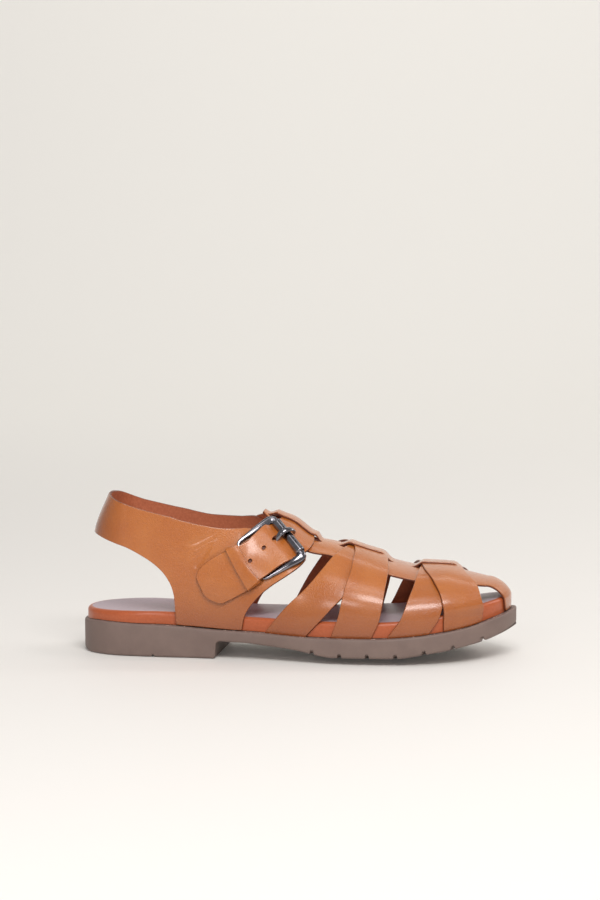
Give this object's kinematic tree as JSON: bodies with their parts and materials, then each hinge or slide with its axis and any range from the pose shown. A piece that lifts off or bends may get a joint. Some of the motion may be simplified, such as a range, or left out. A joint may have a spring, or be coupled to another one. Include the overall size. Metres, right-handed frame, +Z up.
{
  "type": "fisherman sandal",
  "caption": "Right closed-toe fisherman sandal with a woven strap upper, a heel sling, a side buckle and a moulded sole with a low heel.",
  "frame": {"origin": "centre of the bounding box on the floor, with the sandal resting on its sole", "axes": "+X towards the toe along the sole, +Y towards the inner (medial) side, +Z up"},
  "size_m": [0.261, 0.0923, 0.0958],
  "materials": {
    "outsole": "matte grey-brown moulded rubber",
    "insole": "terracotta leather wrap with a soft sheen",
    "upper": "semi-gloss cognac leather",
    "heel_quarter": "semi-gloss cognac leather",
    "buckle_strap": "semi-gloss cognac leather",
    "keeper_loop": "semi-gloss cognac leather",
    "buckle_frame": "polished dark nickel",
    "buckle_prong": "polished dark nickel"
  },
  "bodies": {
    "root": {"outsole": "outsole", "insole": "insole", "upper": "upper", "heel_quarter": "heel_quarter", "buckle_strap": "buckle_strap", "keeper_loop": "keeper_loop", "buckle_frame": "buckle_frame", "buckle_prong": "buckle_prong"}
  },
  "joints": []
}
